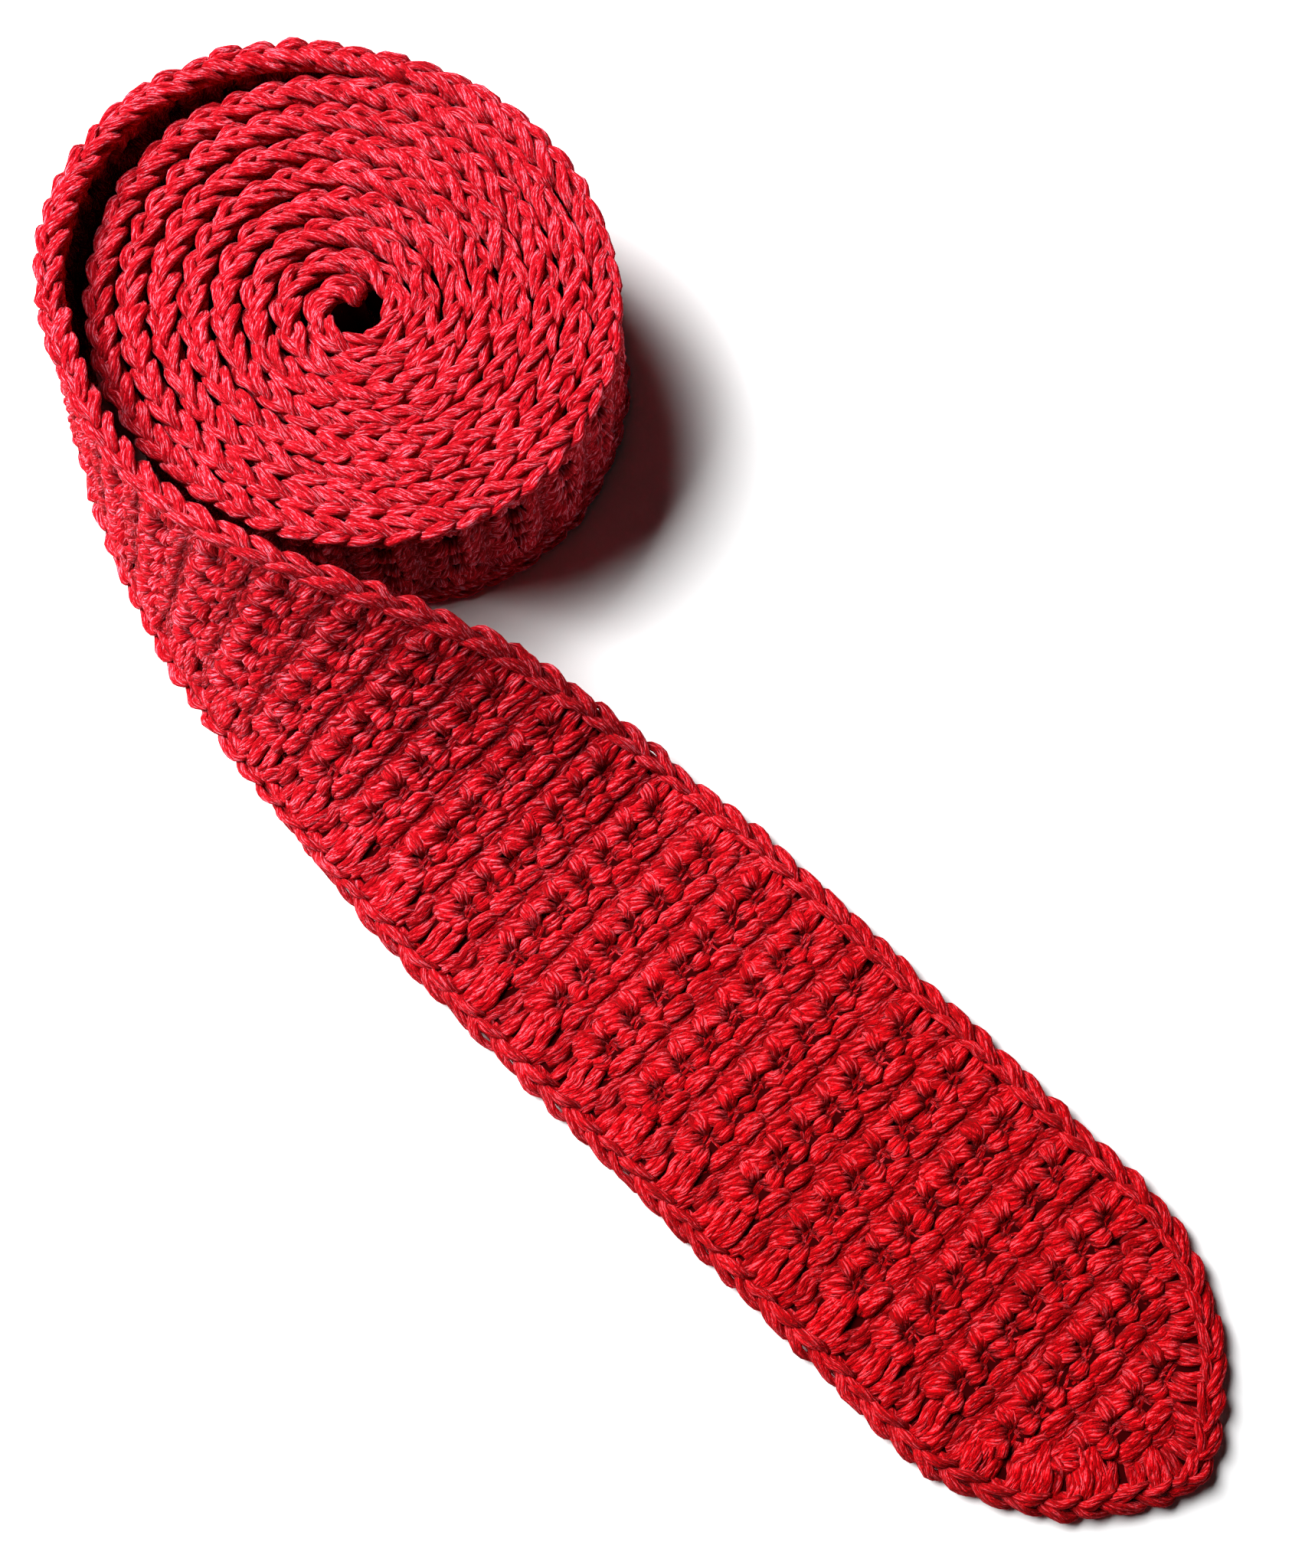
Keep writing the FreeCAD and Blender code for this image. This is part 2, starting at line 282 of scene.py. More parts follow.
def spline_weights(knots, points):
    """Weights that turn knot values into evenly spaced values on a Catmull-Rom curve through them."""
    weights = np.zeros((points, knots))
    for row, place in enumerate(np.linspace(0, knots - 1, points)):
        index = min(int(place), knots - 2)
        t = place - index
        basis = ((-t + 2 * t ** 2 - t ** 3) / 2, (2 - 5 * t ** 2 + 3 * t ** 3) / 2,
                 (t + 4 * t ** 2 - 3 * t ** 3) / 2, (-t ** 2 + t ** 3) / 2)
        for offset, share in zip((-1, 0, 1, 2), basis):
            weights[row, min(max(index + offset, 0), knots - 1)] += share
    return weights


def unit(vectors):
    """The same directions, one long."""
    return vectors / np.maximum(np.linalg.norm(vectors, axis=-1, keepdims=True), NO_LENGTH)


def carried_normals(tangent, ups):
    """Normals that start from the ups at each tube's middle and are carried to both ends without twisting."""
    points = tangent.shape[1]
    middle = points // 2
    normal = np.zeros_like(tangent)
    normal[:, middle] = ups[:, middle]
    order = [(middle, middle)] + [(i, i - 1) for i in range(middle + 1, points)]
    order += [(i, i + 1) for i in range(middle - 1, -1, -1)]
    for here, before in order:
        along = np.sum(normal[:, before] * tangent[:, here], axis=1, keepdims=True)
        normal[:, here] = unit(normal[:, before] - tangent[:, here] * along)
    return normal


def distances(paths):
    """Distance of each point from its path's start."""
    steps = np.linalg.norm(np.diff(paths, axis=1), axis=2)
    return np.concatenate([np.zeros((len(paths), 1)), np.cumsum(steps, axis=1)], axis=1)


class Yarn:
    """Collects tubes of yarn and makes one mesh of them.

    Its points carry what the material reads: the place round and along the strand, how much of the roll's
    painted light and sheen the colour gets, and how far painted shade darkens it.
    """

    def __init__(self):
        self.vertices, self.faces, self.caps = [], [], []
        self.yarn, self.tone, self.painted_shade = [], [], []
        self.count = 0

    def add(self, paths, ups, radii, flatten, sides, tone, painted_shade):
        """Add tubes along paths, an array of (tubes, points, 3).

        ups are the directions off the fabric's face there. radii, the roll's painted light and the painted
        shade are (tubes, points) arrays.
        """
        tubes, points = paths.shape[:2]
        tangent = unit(np.gradient(paths, axis=1))
        normal = carried_normals(tangent, ups)
        sideways = np.cross(tangent, normal)
        around = np.linspace(0, 2 * math.pi, sides, endpoint=False)
        ring = (sideways[:, :, None] * np.cos(around)[:, None]
                + normal[:, :, None] * np.sin(around)[:, None] * flatten)
        vertices = paths[:, :, None] + ring * radii[:, :, None, None]
        # Yarn that would reach into the table is pressed flat on it
        vertices[..., 2] = np.maximum(vertices[..., 2], 0)
        lengths = distances(paths)
        turned = around + lengths[..., None] * TWIST + rng.uniform(0, 2 * math.pi, (tubes, 1, 1))
        own_place = rng.uniform(0, YARN_PLACES, (tubes, 1, 1))
        along = np.broadcast_to(lengths[..., None] + own_place, turned.shape)
        self.yarn.append(np.stack([np.cos(turned), np.sin(turned), along], axis=-1).reshape(-1, 3))
        self.tone.append(np.broadcast_to(tone[..., None], turned.shape).reshape(-1))
        self.painted_shade.append(np.broadcast_to(painted_shade[..., None], turned.shape).reshape(-1))
        self.vertices.append(vertices.reshape(-1, 3))
        grid = self.count + np.arange(tubes * points * sides).reshape(tubes, points, sides)
        ahead = np.roll(grid, -1, axis=2)
        quads = np.stack([grid[:, :-1], ahead[:, :-1], ahead[:, 1:], grid[:, 1:]], axis=-1)
        self.faces.append(quads.reshape(-1, 4))
        self.caps.append(np.concatenate([grid[:, 0, ::-1], grid[:, -1]]))
        self.count += tubes * points * sides

    def piece(self, name, material):
        """The mesh object, in metres."""
        vertices = np.concatenate(self.vertices) / METRE
        quads = np.concatenate(self.faces)
        loops = [quads.ravel()] + [caps.ravel() for caps in self.caps]
        totals = [np.full(len(quads), 4)] + [np.full(len(caps), caps.shape[1]) for caps in self.caps]
        mesh = fill_mesh(name, vertices, np.concatenate(loops), np.concatenate(totals))
        yarn = mesh.attributes.new("yarn", "FLOAT_VECTOR", "POINT")
        yarn.data.foreach_set("vector", np.concatenate(self.yarn).astype(np.float32).ravel())
        for kind, values in (("tone", self.tone), ("painted_shade", self.painted_shade)):
            attribute = mesh.attributes.new(kind, "FLOAT", "POINT")
            attribute.data.foreach_set("value", np.concatenate(values).astype(np.float32))
        return link_piece(name, mesh, material)


def fill_mesh(name, vertices, loops, totals):
    """A smooth mesh from arrays of corners."""
    mesh = bpy.data.meshes.new(name)
    mesh.vertices.add(len(vertices))
    mesh.vertices.foreach_set("co", vertices.astype(np.float32).ravel())
    mesh.loops.add(len(loops))
    mesh.loops.foreach_set("vertex_index", loops.astype(np.int32))
    mesh.polygons.add(len(totals))
    starts = np.concatenate([[0], np.cumsum(totals)[:-1]])
    mesh.polygons.foreach_set("loop_start", starts.astype(np.int32))
    mesh.polygons.foreach_set("loop_total", totals.astype(np.int32))
    mesh.polygons.foreach_set("use_smooth", np.ones(len(totals), bool))
    mesh.update(calc_edges=True)
    return mesh


def link_piece(name, mesh, material):
    """An object in the scene, with one material."""
    mesh.materials.append(material)
    piece = bpy.data.objects.new(name, mesh)
    bpy.context.scene.collection.objects.link(piece)
    return piece


# ---------------------------------------------------------------------------------------------------------
# The stitches. Each strand is a list of knots: along the band from its ridge's groove, across the band from
# its row of holes, out from the middle of the fabric, and its radius there.
# ---------------------------------------------------------------------------------------------------------

TIP_STRAND = ((-0.3, 0.35, 0.0, 0.35), (0.5, 0.7, 0.5, 0.75), (1.6, 1.0, 0.85, 1.1), (2.8, 0.95, 0.8, 1.1),
              (3.8, 0.5, 0.5, 0.7), (4.5, 0.2, 0.2, 0.4))
LEG_A = ((2.1, 0.2, 0.2, 0.6), (1.7, -0.6, 0.6, 1.0), (1.4, -1.8, 0.8, 1.1), (1.1, -3.0, 0.5, 1.0),
         (1.0, -4.0, -0.2, 0.55))
LEG_B = ((4.3, -0.1, 0.1, 0.4), (3.7, -0.7, 0.6, 0.85), (3.0, -1.9, 0.9, 1.15), (2.4, -3.1, 0.6, 1.05),
         (2.1, -4.1, -0.2, 0.6))
LEG_C = ((5.0, -0.5, 0.0, 0.4), (5.1, -1.2, 0.7, 0.9), (5.3, -2.2, 1.1, 1.2), (5.2, -3.1, 1.0, 1.15),
         (5.0, -3.9, 0.5, 0.8), (4.9, -4.4, 0.2, 0.4))
BARREL = ((8.9, 2.5, -0.3, 0.5), (8.2, 2.4, 0.5, 0.85), (7.6, 1.7, 1.0, 1.1), (7.4, 0.0, 1.1, 1.15),
          (7.3, -1.6, 0.9, 1.1), (7.4, -2.7, 0.1, 0.6))
NUB = ((7.9, -0.5, -0.3, 0.5), (8.5, -0.8, 0.3, 0.75), (9.1, -1.4, 0.5, 0.8), (9.6, -2.2, 0.2, 0.7),
       (9.9, -3.0, -0.4, 0.5))
GROOVE_BED = ((-0.2, -2.8, 0.2, 0.85), (0.2, -1.0, 0.35, 1.0), (-0.2, 1.0, 0.3, 1.0), (0.1, 2.8, 0.2, 0.85))
PANEL_STRANDS = (TIP_STRAND, LEG_A, LEG_B, LEG_C, BARREL, NUB)

RIGHT_POSTS = (((0.7, -0.8, 0.1, 0.6), (0.8, 0.7, 0.6, 1.0), (1.1, 2.4, 0.7, 1.0), (1.5, 4.6, 0.3, 0.9)),
               ((3.8, -0.3, 0.0, 0.5), (3.4, 0.9, 0.6, 0.95), (3.0, 2.4, 0.7, 0.95), (2.6, 4.6, 0.3, 0.8)),
               ((5.4, -0.3, 0.0, 0.5), (5.6, 0.9, 0.6, 1.0), (5.5, 2.4, 0.7, 1.0), (5.1, 4.6, 0.3, 0.8)),
               ((7.2, -1.4, 0.4, 0.7), (7.4, 0.6, 0.75, 1.05), (7.5, 2.2, 0.75, 1.1), (7.3, 4.6, 0.3, 0.8)))
LEFT_POSTS = (((-0.2, -1.6, 0.0, 0.6), (-0.7, 0.8, 0.6, 0.95), (-1.2, 2.4, 0.7, 1.0), (-1.5, 4.6, 0.3, 0.8)),
              ((1.6, -1.4, 0.2, 0.7), (1.7, 0.8, 0.6, 1.0), (2.0, 2.4, 0.7, 1.0), (1.7, 4.6, 0.3, 0.8)),
              ((3.7, -2.3, 0.3, 0.8), (3.9, 0.7, 0.6, 1.0), (4.3, 2.3, 0.75, 1.05), (4.2, 4.6, 0.3, 0.8)),
              ((5.9, -2.3, 0.3, 0.8), (6.1, 0.6, 0.6, 1.0), (6.3, 2.3, 0.7, 1.0), (6.0, 4.6, 0.3, 0.8)))

# The two legs of a chain stitch: along the chain towards its apex, out to the leg's own side of the chain, up
# off the chain, and its radius. The inner leg crosses over the outer one at the apex.
CHAIN_LEGS = {
    -1: ((3.7, -0.65, -0.5, 0.4), (2.6, -0.3, 0.25, 0.65), (1.0, 0.35, 0.6, 0.76), (-0.8, 1.0, 0.5, 0.76),
         (-2.4, 1.35, 0.0, 0.62), (-3.4, 1.2, -0.95, 0.4)),
    1: ((2.7, 0.1, -0.5, 0.4), (1.7, 0.6, 0.05, 0.65), (0.4, 1.05, 0.3, 0.76), (-1.0, 1.35, 0.2, 0.74),
        (-2.3, 1.35, -0.25, 0.6), (-3.2, 1.1, -0.95, 0.4))}
CHAIN_PITCH = RIDGE / 2
CHAIN_HEIGHT = 5.75         # middle of the chain, out from the row of holes
CHAIN_ROLL = {"left": 40.0, "right": 58.0}  # angle it rolls onto the top face once the band lies flat
CHAIN_ROLL_FROM = 20.0      # it starts to roll at this distance along the band
CHAIN_ROLL_OVER = 70.0      # and takes this much of the band to do it
CHAIN_LIFT = 0.5            # how far a chain rolled a quarter turn rises
CHAIN_DRAW = 0.35           # and how far it is drawn in

PIT_DEPTH = 1.9             # how far the strands sink into a hole
PIT_SPREAD = 1.5            # how wide its funnel is
PIT_THINS = 0.5             # share of its radius a strand loses there
# The yarn is darkened with painted shade in holes and grooves and under the chain, where real shade falls
SHADE_FULL = 1.15           # a strand gets a hole's full painted shade where this, fading over the spread, passes one
SHADE_SPREAD = 1.5
GROOVE_SHADE = 0.45         # how much painted shade the grooves get, as a share of a hole's
GROOVE_POWER = 8            # a higher power keeps the painted shade closer to the groove
BED_SHADE = 0.3             # how much painted shade the yarn under the chain gets
PIT_PLACES = {"panel": 4.8, "left": 0.5, "right": 4.6}  # past the ridge's groove
PAST_MIDDLE = 0.4           # how far a strand's underside may reach past the middle of the fabric
RIDGE_DIP = 0.4             # how far the strands sink at a ridge's groove
RIDGE_RISE = 0.2            # and stand up at its crest
RIDGE_POWER = 4             # a higher power makes the groove narrower
THINNEST = 0.05             # no strand's radius is less
ROUND = 1.0                 # a strand's thickness out from the fabric's face, as a share of its width
POST_FLATTEN = 0.9          # the same, for the edging's posts
BED_THICKER = 1.3           # the same, for the yarn under the chain in the roll and the loose turn
BED_HEIGHT = -1.3           # middle of the yarn under the chain, up off the chain's middle
BED_RADIUS = 1.35
BED_STEP = 1.5
BED_SIDES = 8

ROLL_LIGHT_ENDS = 150.0           # the roll's painted light and sheen are gone from this distance on, leaving the blade's colour
ROLL_LIGHT_FADE = 130.0           # and are full up to this far before that
PATH_JITTER = 0.13
RADIUS_JITTER = 0.1         # as a share of the radius

# Points along a strand, sides round it, and whether it is split into two halves. The coarse detail is for
# the lower edging inside the roll.
FINE = {"points": 10, "sides": 7, "halved": True}
COARSE = {"points": 7, "sides": 6, "halved": False}
BOTH_FINE = {"left": FINE, "right": FINE}
HALF_OFFSET = 0.4           # how far each half of a split strand lies off its middle, in the strand's radii
HALF_RADIUS = 0.76          # a half's radius, in the strand's radii
HALF_JITTER = 0.09


def smooth(copies, detail):
    """Evenly spaced points on a curve through each strand's knots."""
    return np.einsum("pk,nkc->npc", spline_weights(copies.shape[1], detail["points"]), copies)


def strands(knots, places, detail):
    """A strand for each place, each a little different. Returns which place each is for, and its points."""
    copies = np.repeat(np.array(knots, float)[None], places, axis=0)
    copies[..., :3] += rng.normal(0, PATH_JITTER, copies[..., :3].shape)
    copies[..., 3] *= 1 + rng.normal(0, RADIUS_JITTER, (places, 1))
    if not detail["halved"]:
        return np.arange(places), smooth(copies, detail)
    heading = np.gradient(copies[..., :2], axis=1)
    sideways = unit(np.stack([-heading[..., 1], heading[..., 0]], axis=-1))
    halves = []
    for side in (-1, 1):
        half = copies.copy()
        half[..., :2] += side * HALF_OFFSET * copies[..., 3:] * sideways
        half[..., :3] += rng.normal(0, HALF_JITTER, half[..., :3].shape)
        half[..., 3] *= HALF_RADIUS
        halves.append(half)
    return np.tile(np.arange(places), 2), smooth(np.concatenate(halves), detail)


def roll_light_share(along):
    """How much painted light and sheen the yarn gets, from none on the blade's deep red to full on the roll's
    paler red.
    """
    return np.clip((ROLL_LIGHT_ENDS - along) / ROLL_LIGHT_FADE, 0, 1)


def lay(yarn, places, outward_sign, radii, flatten, detail, painted_shade):
    """Add tubes along band places: arrays (along, across, out) of shape (tubes, points)."""
    paths, outward = on_band(*places)
    radii = np.maximum(radii, THINNEST)
    yarn.add(paths, outward * outward_sign, radii, flatten, detail["sides"], roll_light_share(places[0]), painted_shade)


def ridge_grid(start, end, shift):
    """Grooves between two distances along the band."""
    first = math.ceil((start - FIRST_GROOVE) / RIDGE - shift - GROOVE_SLACK)
    last = math.ceil((end - FIRST_GROOVE) / RIDGE - shift - GROOVE_SLACK)
    return FIRST_GROOVE + (np.arange(first, last) + shift) * RIDGE


def panel_cells(start, end, shift, first_row):
    """Groove, row of holes and row spacing of each stitch on the panel between two distances."""
    cells = []
    for groove in ridge_grid(start, end, shift):
        width = float(width_at(groove + RIDGE / 2))
        rows = round((width - LEFT_HOLES - RIGHT_HOLES) / STITCH)
        pitch = (width - LEFT_HOLES - RIGHT_HOLES) / rows
        for row in range(first_row, rows + 1):
            cells.append((groove, LEFT_HOLES + row * pitch, pitch / STITCH))
    return np.array(cells)


def ridge_swell(along):
    """How far a place a given way past its groove stands above the fabric's plain face."""
    return RIDGE_RISE - (RIDGE_RISE + RIDGE_DIP) * np.cos(np.pi * along / RIDGE) ** RIDGE_POWER


def sink(copies, across, strip):
    """Heights, radii and painted shade of strands that dive into the nearest hole, the shade darkest in holes
    and grooves. across is from a row of holes.
    """
    gap = (copies[..., 0] - PIT_PLACES[strip] + RIDGE / 2) % RIDGE - RIDGE / 2
    off_hole = gap ** 2 + across ** 2
    closeness = np.exp(-off_hole / PIT_SPREAD ** 2)
    height = copies[..., 2] + ridge_swell(copies[..., 0]) - PIT_DEPTH * closeness
    in_groove = np.cos(np.pi * copies[..., 0] / RIDGE) ** GROOVE_POWER
    in_pit = np.minimum(1, SHADE_FULL * np.exp(-off_hole / SHADE_SPREAD ** 2))
    painted_shade = np.maximum(in_pit, GROOVE_SHADE * in_groove)
    radii = copies[..., 3] * (1 - PIT_THINS * closeness)
    return np.maximum(height, radii - PAST_MIDDLE), radii, painted_shade


def lay_panel(yarn, start, end, face):
    """The panel's stitches on one face: 1 for the outer or top face, -1 for the inner or back one."""
    shift = 0 if face > 0 else BACK_SHIFT
    for knots in PANEL_STRANDS + (GROOVE_BED,):
        cells = panel_cells(start, end, shift, 0 if knots is GROOVE_BED else 1)
        cell, copies = strands(knots, len(cells), FINE)
        along = cells[cell, 0, None] + copies[..., 0]
        across = cells[cell, 1, None] + copies[..., 1] * cells[cell, 2, None]
        middle = copies.shape[1] // 2
        kept = inside_panel(along[:, middle], across[:, middle])
        kept &= along[:, middle] < end + RIDGE
        nearest = (copies[..., 1] + STITCH / 2) % STITCH - STITCH / 2
        height, radii, painted_shade = sink(copies, nearest, "panel")
        places = (along[kept], across[kept], face * height[kept])
        lay(yarn, places, face, radii[kept], ROUND, FINE, painted_shade[kept])


def lay_posts(yarn, side, start, end, face, detail):
    """The edging's posts on one face, from its row of holes out to its chain."""
    posts = RIGHT_POSTS if side == "right" else LEFT_POSTS
    grooves = ridge_grid(start, end, 0 if face > 0 else BACK_SHIFT)
    for knots in posts:
        groove, copies = strands(knots, len(grooves), detail)
        at = grooves[groove, None] + copies[..., 0]
        kept = at[:, at.shape[1] // 2] < POINT_END
        height, radii, painted_shade = sink(copies, copies[..., 1], side)
        places = tuple(values[kept] for values in on_edging(side, at, copies[..., 1], face * height))
        lay(yarn, places, face, radii[kept], POST_FLATTEN, detail, painted_shade[kept])


def chain_roll(side, at):
    """How far the chain has rolled onto the top face, in radians."""
    flat = np.clip((at - CHAIN_ROLL_FROM) / CHAIN_ROLL_OVER, 0, 1)
    return np.radians(CHAIN_ROLL[side]) * flat * flat * (3 - 2 * flat)


def on_chain(side, at, sideways, up):
    """Band places of points on the chain, sideways towards the outer face and up off the chain's middle."""
    roll = chain_roll(side, at)
    out = sideways * np.cos(roll) + up * np.sin(roll) + CHAIN_LIFT * np.sin(roll)
    outwards = CHAIN_HEIGHT - sideways * np.sin(roll) + up * np.cos(roll) - CHAIN_DRAW * np.sin(roll)
    return on_edging(side, at, outwards, out)


def lay_chain(yarn, side, start, end, detail):
    """The chain along the edge, two legs to each stitch: to the tip on the right, and back on the left."""
    stitches = np.arange(math.ceil(start / CHAIN_PITCH), math.ceil(end / CHAIN_PITCH)) * CHAIN_PITCH
    direction = 1 if side == "right" else -1
    for leg, knots in CHAIN_LEGS.items():
        stitch, copies = strands(knots, len(stitches), detail)
        at = stitches[stitch, None] + direction * copies[..., 0]
        places = on_chain(side, at, leg * copies[..., 1], copies[..., 2])
        lay(yarn, places, 1, copies[..., 3], ROUND, detail, np.zeros_like(at))


def lay_bed(yarn, side, start, end):
    """The yarn hidden under the chain, darkened with painted shade."""
    at = np.linspace(start, end, round((end - start) / BED_STEP))[None]
    along, across, out = on_chain(side, at, np.zeros_like(at), np.full_like(at, BED_HEIGHT))
    paths, outward = on_band(along, across, out)
    flatten = BED_THICKER if end <= 0 else ROUND
    yarn.add(paths, outward, np.full_like(at, BED_RADIUS), flatten, BED_SIDES, roll_light_share(along),
             np.full_like(at, BED_SHADE))


# ---------------------------------------------------------------------------------------------------------
# Materials
# ---------------------------------------------------------------------------------------------------------

PLY_SCALE = 2.5             # plies across a strand's own radius
PLY_STRETCH = 0.17          # a millimetre along the strand counts as this share of its radius
FIBRE_SCALE = 8.0
FIBRE_DETAIL = 2.0
PLY_RELIEF = 0.4
PLY_LEVELS = (-0.2, 0.4)    # relief of the grooves between the plies, and of their tops
RAMP_PLACES = (0.0, 0.5, 0.9)  # where the three colours below lie between those two levels
SHADE_DEPTH = 0.9           # how much darker the painted shade makes the yarn at the bottom of a hole
YARN_LOOK = {"Roughness": 0.8, "Specular IOR Level": 0.03, "Sheen Weight": 0.03, "Sheen Roughness": 0.4,
             "Sheen Tint": (1.0, 0.45, 0.5, 1)}
PLAIN_SPECULAR = 0.02
# The hidden middle's near-black red is painted shade, seen at the bottom of the holes
CORE_SHADE_RED = (0.03, 0.0001, 0.0005)
CORE_ROUGHNESS = 0.9
FLOOR_WHITE = (0.93, 0.93, 0.93)
FLOOR_ROUGHNESS = 0.6

# Colours of the yarn: painted shade in the grooves between plies, its red on their sides, painted highlights
# on their tops
DEEP_RED = ((0.34, 0.0004, 0.002), (0.80, 0.002, 0.007), (1.0, 0.09, 0.12))
# The roll's set is paler and pinker: painted light and sheen for the brighter light that falls on the roll
ROLL_LIT_RED = ((0.42, 0.001, 0.006), (0.90, 0.012, 0.028), (1.0, 0.23, 0.32))


def ply_shade_to_highlight(nodes, links, relief, colours):
    """Colours from the painted shade in the grooves between plies to the painted highlights on their tops."""
    ramp = nodes.new("ShaderNodeValToRGB")
    links.new(relief, ramp.inputs["Fac"])
    ramp.color_ramp.elements.new(RAMP_PLACES[1])
    for element, position, colour in zip(ramp.color_ramp.elements, RAMP_PLACES, colours):
        element.position = position
        element.color = (*colour, 1)
    return ramp


def point_attribute(nodes, name):
    """A node that reads one of the values that the tubes carry."""
    attribute = nodes.new("ShaderNodeAttribute")
    attribute.attribute_name = name
    return attribute


def colour_sockets(sockets, name=None):
    """The sockets that hold a colour, or only those of the given name."""
    return [socket for socket in sockets if socket.type == "RGBA" and name in (None, socket.name)]


def ply_relief(nodes, links):
    """Height of the plies and fibres: fine lines that run along each tube and twist round it."""
    stretch = nodes.new("ShaderNodeVectorMath")
    stretch.operation = "MULTIPLY"
    stretch.inputs[1].default_value = (1.0, 1.0, PLY_STRETCH)
    links.new(point_attribute(nodes, "yarn").outputs["Vector"], stretch.inputs[0])
    plies = nodes.new("ShaderNodeTexVoronoi")
    plies.inputs["Scale"].default_value = PLY_SCALE
    links.new(stretch.outputs[0], plies.inputs["Vector"])
    fibres = nodes.new("ShaderNodeTexNoise")
    fibres.inputs["Scale"].default_value = FIBRE_SCALE
    fibres.inputs["Detail"].default_value = FIBRE_DETAIL
    links.new(stretch.outputs[0], fibres.inputs["Vector"])
    relief = nodes.new("ShaderNodeMath")
    relief.operation = "MULTIPLY_ADD"
    relief.inputs[1].default_value = -1.0
    links.new(plies.outputs["Distance"], relief.inputs[0])
    links.new(fibres.outputs["Fac"], relief.inputs[2])
    return relief.outputs[0]


def painted_ply_colour(nodes, links, relief, deep, lit_roll):
    """The yarn's colour with its plies' painted shade and highlights, going from the deep set to the roll's
    paler painted-light set as the roll's painted light rises.
    """
    spread = nodes.new("ShaderNodeMapRange")
    spread.inputs["From Min"].default_value = PLY_LEVELS[0]
    spread.inputs["From Max"].default_value = PLY_LEVELS[1]
    links.new(relief, spread.inputs["Value"])
    dye = nodes.new("ShaderNodeMix")
    dye.data_type = "RGBA"
    links.new(point_attribute(nodes, "tone").outputs["Fac"], dye.inputs["Factor"])
    for socket, colours in (("A", deep), ("B", lit_roll)):
        ramp = ply_shade_to_highlight(nodes, links, spread.outputs["Result"], colours)
        links.new(ramp.outputs["Color"], colour_sockets(dye.inputs, socket)[0])
    return colour_sockets(dye.outputs)[0]


def shaded(nodes, links, colour):
    """The colour, darkened by painted shade where that is high."""
    dark = nodes.new("ShaderNodeMapRange")
    dark.inputs["To Min"].default_value = 1.0
    dark.inputs["To Max"].default_value = 1.0 - SHADE_DEPTH
    links.new(point_attribute(nodes, "painted_shade").outputs["Fac"], dark.inputs["Value"])
    darkened = nodes.new("ShaderNodeVectorMath")
    darkened.operation = "SCALE"
    links.new(colour, darkened.inputs[0])
    links.new(dark.outputs["Result"], darkened.inputs["Scale"])
    return darkened.outputs[0]


def yarn_material(name, deep, lit_roll):
    """Matte cotton yarn, its colour carrying painted shade and highlights on the plies, painted shade in
    holes and grooves, and the roll's painted light.
    """
    material = bpy.data.materials.new(name)
    material.use_nodes = True
    nodes, links = material.node_tree.nodes, material.node_tree.links
    shader = nodes["Principled BSDF"]
    relief = ply_relief(nodes, links)
    colour = painted_ply_colour(nodes, links, relief, deep, lit_roll)
    links.new(shaded(nodes, links, colour), shader.inputs["Base Color"])
    bump = nodes.new("ShaderNodeBump")
    bump.inputs["Strength"].default_value = 1.0
    bump.inputs["Distance"].default_value = PLY_RELIEF / METRE
    links.new(relief, bump.inputs["Height"])
    links.new(bump.outputs["Normal"], shader.inputs["Normal"])
    for entry, value in YARN_LOOK.items():
        shader.inputs[entry].default_value = value
    return material


def plain_material(name, colour, roughness):
    """One colour all over."""
    material = bpy.data.materials.new(name)
    material.use_nodes = True
    shader = material.node_tree.nodes["Principled BSDF"]
    shader.inputs["Base Color"].default_value = (*colour, 1)
    shader.inputs["Roughness"].default_value = roughness
    shader.inputs["Specular IOR Level"].default_value = PLAIN_SPECULAR
    return material


# ---------------------------------------------------------------------------------------------------------
# The pieces
# ---------------------------------------------------------------------------------------------------------

CORE = 0.6                  # thickness of the fabric's hidden middle
CORE_INSET = 3.0            # the middle stops this far inside the edge
CORE_STEP = 2.0             # about how long its mesh's faces are along the band
FEWEST_CORE_ROWS = 6
CORE_COLUMNS = 9
NARROWEST_CORE = 0.3        # it is never narrower than this on each side of the blade's axis
OUTER_TURNS = 1.15          # about how many of the roll's last turns have stitches, on the outer face only


